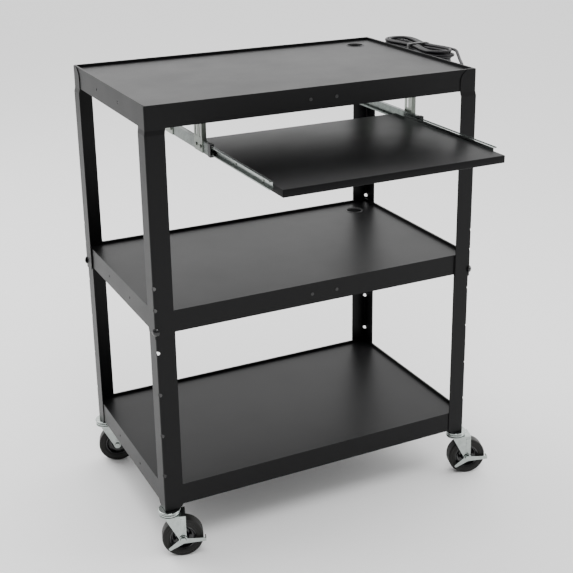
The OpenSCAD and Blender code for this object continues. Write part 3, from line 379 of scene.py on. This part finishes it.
# Cord tie: a strap of black hook-and-loop tape wrapped round the hank's waist, its end lapped over
# on the top. Woven nylon loops 0.7 mm apart make it matte, with a slight sheen at a low angle.
tape, tree, place = new_material("hook_and_loop_tape")
loops = add_node(tree, "ShaderNodeTexVoronoi", {"Vector": place}, Scale=cells(0.714))
bump = add_node(tree, "ShaderNodeBump", {"Height": loops.outputs["Distance"]}, Strength=0.6, Distance=0.0005)
shader = add_node(tree, "ShaderNodeBsdfPrincipled", {"Normal": bump.outputs["Normal"]},
                  Base_Color=linear("#161517"), Roughness=0.9, Sheen_Weight=0.4)
add_node(tree, "ShaderNodeOutputMaterial", {"Surface": shader.outputs["BSDF"]})


def band(name, centre, half_x, half_z, radius, width, thick, lap):
    """A flat band round a rounded rectangle in the XZ plane, with a lapped end on the top."""
    steps = 8
    outline = []
    for side_x, side_z, start in ((1, 1, 0), (-1, 1, 90), (-1, -1, 180), (1, -1, 270)):
        inset = (side_x * (half_x - radius), side_z * (half_z - radius))
        for k in range(steps + 1):
            a = math.radians(start + k * 90 / steps)
            outline.append((inset, (math.cos(a), math.sin(a))))
    work = bmesh.new()
    rings = []
    for (inset_x, inset_z), (way_x, way_z) in outline:
        ring = []
        for r, y in ((radius, -width / 2), (radius, width / 2),
                     (radius + thick, width / 2), (radius + thick, -width / 2)):
            corner = Vector((inset_x + way_x * r, y, inset_z + way_z * r))
            ring.append(work.verts.new(centre + corner))
        rings.append(ring)
    for a, b in zip(rings, rings[1:] + rings[:1]):
        for k in range(4):
            work.faces.new((a[k], a[(k + 1) % 4], b[(k + 1) % 4], b[k]))
    bmesh.ops.recalc_face_normals(work, faces=work.faces)
    sharp = math.radians(69)
    edges = [e for e in work.edges if e.calc_face_angle() > sharp]
    bmesh.ops.bevel(work, geom=edges, offset=0.0003, segments=2, affect="EDGES")
    strap = new_piece(name, work)
    sunk = 0.0001
    past_share = 0.4
    low = centre + Vector((-lap, -width / 2, half_z + thick - sunk))
    high = centre + Vector((lap * past_share, width / 2, half_z + 2 * thick))
    flap = rounded_box(name + "_flap", low, high, radius=0.0004, segments=2)
    return joined(name, [strap, flap])


tie_gap = 0.0005
tie_half_x = hank_r + turns_per_layer * hank_pitch - hank_waist + cord_d / 2 + tie_gap
tie_half_z = ((layers - 1) * hank_pitch + cord_d) / 2 + tie_gap
tie_centre = hank_centre - Vector((0, 0, (layers - 1) * hank_pitch / 2))
tie_r, tie_w, tape_t, tie_lap = 0.0044, 0.014, 0.0009, 0.017
tie = band("cord_tie_strap", tie_centre, tie_half_x, tie_half_z, tie_r, tie_w, tape_t, tie_lap)
dress(tie, "frame", "cord_vinyl", tape, "cord_tie")


# Shelves and legs: folded and welded cold-rolled sheet with a charcoal powder coat. The coat has a
# fine orange-peel skin, catches light along the folds and has paled a little where it is rubbed.
def powder_coat(name, dark, light, rough_low, rough_high):
    """Baked polyester powder: cloudy over a hand's breadth, with a fine bumpy skin."""
    material, tree, place = new_material(name)
    cloud = add_node(tree, "ShaderNodeTexNoise", {"Vector": place}, Scale=cells(111), Detail=5.0,
                     Roughness=0.6)
    tone = add_node(tree, "ShaderNodeMix", {"Factor": cloud.outputs["Fac"]}, data_type="RGBA")
    tone.inputs["A"].default_value = linear(dark)
    tone.inputs["B"].default_value = linear(light)
    gloss = add_node(tree, "ShaderNodeMapRange", {"Value": cloud.outputs["Fac"]},
                     To_Min=rough_low, To_Max=rough_high)
    # Real orange peel is about 1.5 mm between its bumps
    peel = add_node(tree, "ShaderNodeTexNoise", {"Vector": place}, Scale=cells(1.54), Detail=1.5)
    bump = add_node(tree, "ShaderNodeBump", {"Height": peel.outputs["Fac"]}, Strength=0.25, Distance=0.0003)
    shader = add_node(tree, "ShaderNodeBsdfPrincipled", {
        "Base Color": tone.outputs["Result"], "Roughness": gloss.outputs["Result"],
        "Normal": bump.outputs["Normal"]}, IOR=1.25)
    add_node(tree, "ShaderNodeOutputMaterial", {"Surface": shader.outputs["BSDF"]})
    return material


def coat(material, *names):
    """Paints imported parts, which keep their shape and place."""
    for name in names:
        nodes[name].data.materials.clear()
        nodes[name].data.materials.append(material)


charcoal = powder_coat("charcoal_powder_coat", "#070708", "#0c0c0d", rough_low=0.34, rough_high=0.44)
coat(charcoal, "top_shelf", "middle_shelf", "bottom_shelf")
coat(charcoal, *["upper_leg_" + c for c in corners], *["lower_leg_" + c for c in corners])


# Fixings, hangers and cord hooks: zinc-plated steel, satin, with the faint cloudy grey-green of the
# passivation. The fixings hold the hangers, board, strip and casters; the hooks carry the cord.
def zinc_plate(name, dull, bright, rough_low, rough_high, cloud_mm):
    """Zinc on steel: its crystals cloud the colour, and the brighter they are the smoother."""
    material, tree, place = new_material(name)
    cloud = add_node(tree, "ShaderNodeTexNoise", {"Vector": place}, Scale=cells(cloud_mm), Detail=6.0,
                     Roughness=0.62)
    tone = add_node(tree, "ShaderNodeMix", {"Factor": cloud.outputs["Fac"]}, data_type="RGBA")
    tone.inputs["A"].default_value = linear(dull)
    tone.inputs["B"].default_value = linear(bright)
    gloss = add_node(tree, "ShaderNodeMapRange", {"Value": cloud.outputs["Fac"]},
                     To_Min=rough_high, To_Max=rough_low)
    shader = add_node(tree, "ShaderNodeBsdfPrincipled", {
        "Base Color": tone.outputs["Result"], "Roughness": gloss.outputs["Result"]}, Metallic=1.0)
    add_node(tree, "ShaderNodeOutputMaterial", {"Surface": shader.outputs["BSDF"]})
    return material


satin_zinc = zinc_plate("satin_zinc_plate", "#6d736d", "#9ba199", rough_low=0.24, rough_high=0.4,
                        cloud_mm=8.33)
coat(satin_zinc, "height_nuts", "bracket_screws", "side_screws", "caster_nuts", "board_screws",
     "cord_hooks", *["hanger_" + c for c in corners])


# Height bolts: carriage bolts through the telescoping legs, stoved with a black enamel. It is
# smooth and sharply glossy, and handling has dulled it in spots of about 2 mm.
enamel, tree, place = new_material("black_stoving_enamel")
wear = add_node(tree, "ShaderNodeTexNoise", {"Vector": place}, Scale=cells(2), Detail=3.0)
gloss = add_node(tree, "ShaderNodeMapRange", {"Value": wear.outputs["Fac"]}, To_Min=0.12, To_Max=0.26)
shader = add_node(tree, "ShaderNodeBsdfPrincipled", {"Roughness": gloss.outputs["Result"]},
                  Base_Color=linear("#0c0c0d"), IOR=1.5)
add_node(tree, "ShaderNodeOutputMaterial", {"Surface": shader.outputs["BSDF"]})
coat(enamel, "height_bolts")


# Ball slides: roll-formed galvanised steel strip, bright along the folds. The fixed members get a
# darker copy of the zinc as painted shade, and the moving ones keep the bright zinc.
rolled_zinc = zinc_plate("rolled_galvanised_strip", "#7b827f", "#b3b9b6", rough_low=0.16,
                         rough_high=0.3, cloud_mm=16.7)
coat(rolled_zinc, "slide_rail_left", "slide_rail_right", "ball_retainer_left", "ball_retainer_right")
# Painted shade: a darker copy of the slide zinc for the fixed channels.
shaded_zinc = zinc_plate("shaded_galvanised_strip", "#474e4b", "#787f7b", rough_low=0.22, rough_high=0.36,
                       cloud_mm=14.3)
coat(shaded_zinc, "slide_channel_left", "slide_channel_right")


# Grommets: black moulded rubber rings pushed into the two cable holes, and buttons in the front
# skirts' holes. The rubber is matte, with a grey bloom in patches of about 6 mm.
rubber, tree, place = new_material("moulded_rubber")
bloom = add_node(tree, "ShaderNodeTexNoise", {"Vector": place}, Scale=cells(5.56), Detail=3.0)
tone = add_node(tree, "ShaderNodeMix", {"Factor": bloom.outputs["Fac"]}, data_type="RGBA")
tone.inputs["A"].default_value = linear("#121213")
tone.inputs["B"].default_value = linear("#1f1f20")
shader = add_node(tree, "ShaderNodeBsdfPrincipled", {"Base Color": tone.outputs["Result"]},
                  Roughness=0.55, IOR=1.52)
add_node(tree, "ShaderNodeOutputMaterial", {"Surface": shader.outputs["BSDF"]})
coat(rubber, "cable_grommets")


# Keyboard board: particle board under a black laminate with its edges eased, screwed to the rails.
# The laminate is pressed with a pebble of about 1 mm and has been wiped in broad, duller strokes.
laminate, tree, place = new_material("pebbled_laminate")
pebble = add_node(tree, "ShaderNodeTexNoise", {"Vector": place}, Scale=cells(1.11), Detail=2.0)
bump = add_node(tree, "ShaderNodeBump", {"Height": pebble.outputs["Fac"]}, Strength=0.3, Distance=0.0003)
wipe = add_node(tree, "ShaderNodeTexNoise", {"Vector": place}, Scale=cells(143), Detail=3.0)
gloss = add_node(tree, "ShaderNodeMapRange", {"Value": wipe.outputs["Fac"]}, To_Min=0.34, To_Max=0.44)
shader = add_node(tree, "ShaderNodeBsdfPrincipled", {
    "Roughness": gloss.outputs["Result"], "Normal": bump.outputs["Normal"]},
    Base_Color=linear("#0a0a0b"), IOR=1.2)
add_node(tree, "ShaderNodeOutputMaterial", {"Surface": shader.outputs["BSDF"]})
board_low, board_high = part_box("keyboard_board")
board_edge_r = 0.0016
board = rounded_box("keyboard_board_laminated", board_low, board_high, board_edge_r)
dress(board, "keyboard_shelf", "black_laminate", laminate, "keyboard_board")


# Slide guides, outlet strip case and outlets: black plastic mouldings, the outlets smoother and
# the others with the fine grain of a spark-eroded mould, drawn at about 1 mm so that it shows.
def moulded(name, colour, rough_low, rough_high, grain_mm):
    """Plastic from a mould, whose grain breaks up the gloss."""
    material, tree, place = new_material(name)
    spark = add_node(tree, "ShaderNodeTexNoise", {"Vector": place}, Scale=cells(grain_mm), Detail=2.0)
    bump = add_node(tree, "ShaderNodeBump", {"Height": spark.outputs["Fac"]}, Strength=0.25, Distance=0.0002)
    gloss = add_node(tree, "ShaderNodeMapRange", {"Value": spark.outputs["Fac"]},
                     To_Min=rough_low, To_Max=rough_high)
    shader = add_node(tree, "ShaderNodeBsdfPrincipled", {
        "Roughness": gloss.outputs["Result"], "Normal": bump.outputs["Normal"]},
        Base_Color=linear(colour), IOR=1.54)
    add_node(tree, "ShaderNodeOutputMaterial", {"Surface": shader.outputs["BSDF"]})
    return material


abs_black = moulded("spark_textured_abs", "#1b1c1d", rough_low=0.42, rough_high=0.55, grain_mm=0.91)
coat(abs_black, "slide_guides", "outlet_strip_case")
outlet_face = moulded("smooth_polycarbonate", "#232324", rough_low=0.3, rough_high=0.38, grain_mm=1.43)
coat(outlet_face, "strip_outlets")


# Casters: pressed steel forks and races with bright zinc, on bolted stems. Each cheek of a fork
# has a stiffening rib pressed out of it between the axle and the crown.
bright_zinc = zinc_plate("bright_zinc_plate", "#8d9491", "#c0c6c3", rough_low=0.1, rough_high=0.22,
                         cloud_mm=11.1)
coat(bright_zinc, *["caster_stem_" + c for c in corners], *["caster_fork_" + c for c in corners],
     *["caster_axle_" + c for c in corners], "brake_lever_front_left", "brake_lever_front_right")
cheek_face = 0.0203
cheek_sunk, cheek_proud = 0.0004, 0.0008
cheek_half_w, cheek_low, cheek_high, cheek_edge_r = 0.0045, 0.0125, 0.0535, 0.0007
for c in corners:
    axle = joints["wheel_spin_" + c]
    across = Vector(axle["axis"])
    turn = Matrix.Rotation(math.atan2(-across.x, across.y), 4, "Z")
    ribs = []
    for s in (-1, 1):
        low, high = sorted((s * (cheek_face - cheek_sunk), s * (cheek_face + cheek_proud)))
        ribs.append(rounded_box("cheek_rib", (-cheek_half_w, low, cheek_low),
                                (cheek_half_w, high, cheek_high), cheek_edge_r, segments=2))
    rib = joined("fork_ribs_" + c, ribs)
    rib.data.transform(Matrix.Translation(axle["pos_m"]) @ turn)
    dress(rib, "swivel_" + c, "bright_zinc", bright_zinc)


# Wheels: a glossy black moulded centre with a deep dish, and a hard grey-black tyre with a
# slightly crowned tread and a moulded ring on each side. Scuffs from the floor dull the tyre.
hub_gloss = moulded("glossy_polypropylene", "#0e0e10", rough_low=0.12, rough_high=0.2, grain_mm=3.33)
tread, tree, place = new_material("hard_tyre_rubber")
scuff = add_node(tree, "ShaderNodeTexNoise", {"Vector": place}, Scale=cells(22.2), Detail=6.0, Roughness=0.65)
tone = add_node(tree, "ShaderNodeMix", {"Factor": scuff.outputs["Fac"]}, data_type="RGBA")
tone.inputs["A"].default_value = linear("#0c0c0b")
tone.inputs["B"].default_value = linear("#191816")
gloss = add_node(tree, "ShaderNodeMapRange", {"Value": scuff.outputs["Fac"]}, To_Min=0.4, To_Max=0.6)
shader = add_node(tree, "ShaderNodeBsdfPrincipled", {
    "Base Color": tone.outputs["Result"], "Roughness": gloss.outputs["Result"]}, IOR=1.35)
add_node(tree, "ShaderNodeOutputMaterial", {"Surface": shader.outputs["BSDF"]})
# Half outlines in mm: the radius, and the distance from the middle of the wheel
shoulder_r, shoulder_at, shoulder_out = 5, 43, 11
tyre_half = [(31, 14.6), (33, 15.6), (35.5, 16), (39, 16), (39.6, 15.4), (40.8, 15.4), (41.4, 15.9)]
for degrees in range(0, 91, 9):
    a = math.radians(degrees)
    tyre_half.append((shoulder_at + shoulder_r * math.sin(a), shoulder_out + shoulder_r * math.cos(a)))
hub_half = [(4.08, 17.5), (9.6, 17.5), (11, 16.6), (11.8, 15), (13, 9), (15, 6.2), (18, 5.2), (22.5, 5.4),
            (25, 7), (26.3, 11), (27.4, 13.6), (29, 14.2), (30.9, 13.6)]


def both_sides(half):
    """A whole wheel outline from its half, up one side and down the other."""
    return [(r, -a) for r, a in half] + [(r, a) for r, a in reversed(half)]


for c in corners:
    spin = joints["wheel_spin_" + c]
    tyre_piece = turned("tyre_" + c + "_tread", both_sides(tyre_half), spin["pos_m"], spin["axis"])
    dress(tyre_piece, "wheel_" + c, "tyre_rubber", tread, "tyre_" + c)
    hub_piece = turned("wheel_centre_" + c, both_sides(hub_half), spin["pos_m"], spin["axis"])
    dress(hub_piece, "wheel_" + c, "hub_plastic", hub_gloss, "wheel_hub_" + c)


# Studio: a pale matte paper floor, a white surround that is brighter behind and to the right of the
# cart, and three soft lights aimed at the cart's middle.
floor_reach = 30
floor_corners = [(x * floor_reach, y * floor_reach, 0) for x, y in ((-1, -1), (1, -1), (1, 1), (-1, 1))]
floor_mesh = bpy.data.meshes.new("studio_floor")
floor_mesh.from_pydata(floor_corners, [], [(0, 1, 2, 3)])
floor = add_object("studio_floor", floor_mesh)
paper, tree, place = new_material("studio_paper")
shader = add_node(tree, "ShaderNodeBsdfPrincipled", Base_Color=linear("#ffffff"), Roughness=0.9)
add_node(tree, "ShaderNodeOutputMaterial", {"Surface": shader.outputs["BSDF"]})
floor_mesh.materials.append(paper)
world = bpy.data.worlds.new("studio_surround")
bpy.context.scene.world = world
world.use_nodes = True
world.node_tree.nodes.clear()
tree = world.node_tree
direction = add_node(tree, "ShaderNodeTexCoord").outputs["Generated"]
way = add_node(tree, "ShaderNodeVectorMath", {"Vector": direction}, operation="DOT_PRODUCT")
brightest_way = (0.62, 0.74, 0.25)
way.inputs[1].default_value = brightest_way
shade = add_node(tree, "ShaderNodeMapRange", {"Value": way.outputs["Value"]}, From_Min=-0.5, From_Max=0.6,
                 To_Min=0.35, To_Max=2.1)
sky = add_node(tree, "ShaderNodeBackground", {"Strength": shade.outputs["Result"]}, Color=(1, 1, 1, 1))
add_node(tree, "ShaderNodeOutputWorld", {"Surface": sky.outputs["Background"]})
cart_middle = Vector((0, 0, 0.6))
for name, place, size, power in (
        ("key_light", (-0.6, -1.9, 3.6), 1.4, 55), ("fill_light", (2.8, -1.6, 2.2), 2.0, 25),
        ("back_light", (-1.6, 2.4, 3.4), 2.6, 80)):
    light_data = bpy.data.lights.new(name, "AREA")
    light_data.size = size
    light_data.energy = power
    light = add_object(name, light_data)
    light.location = place
    light.rotation_mode = "QUATERNION"
    light.rotation_quaternion = (Vector(place) - cart_middle).to_track_quat("Z", "Y")
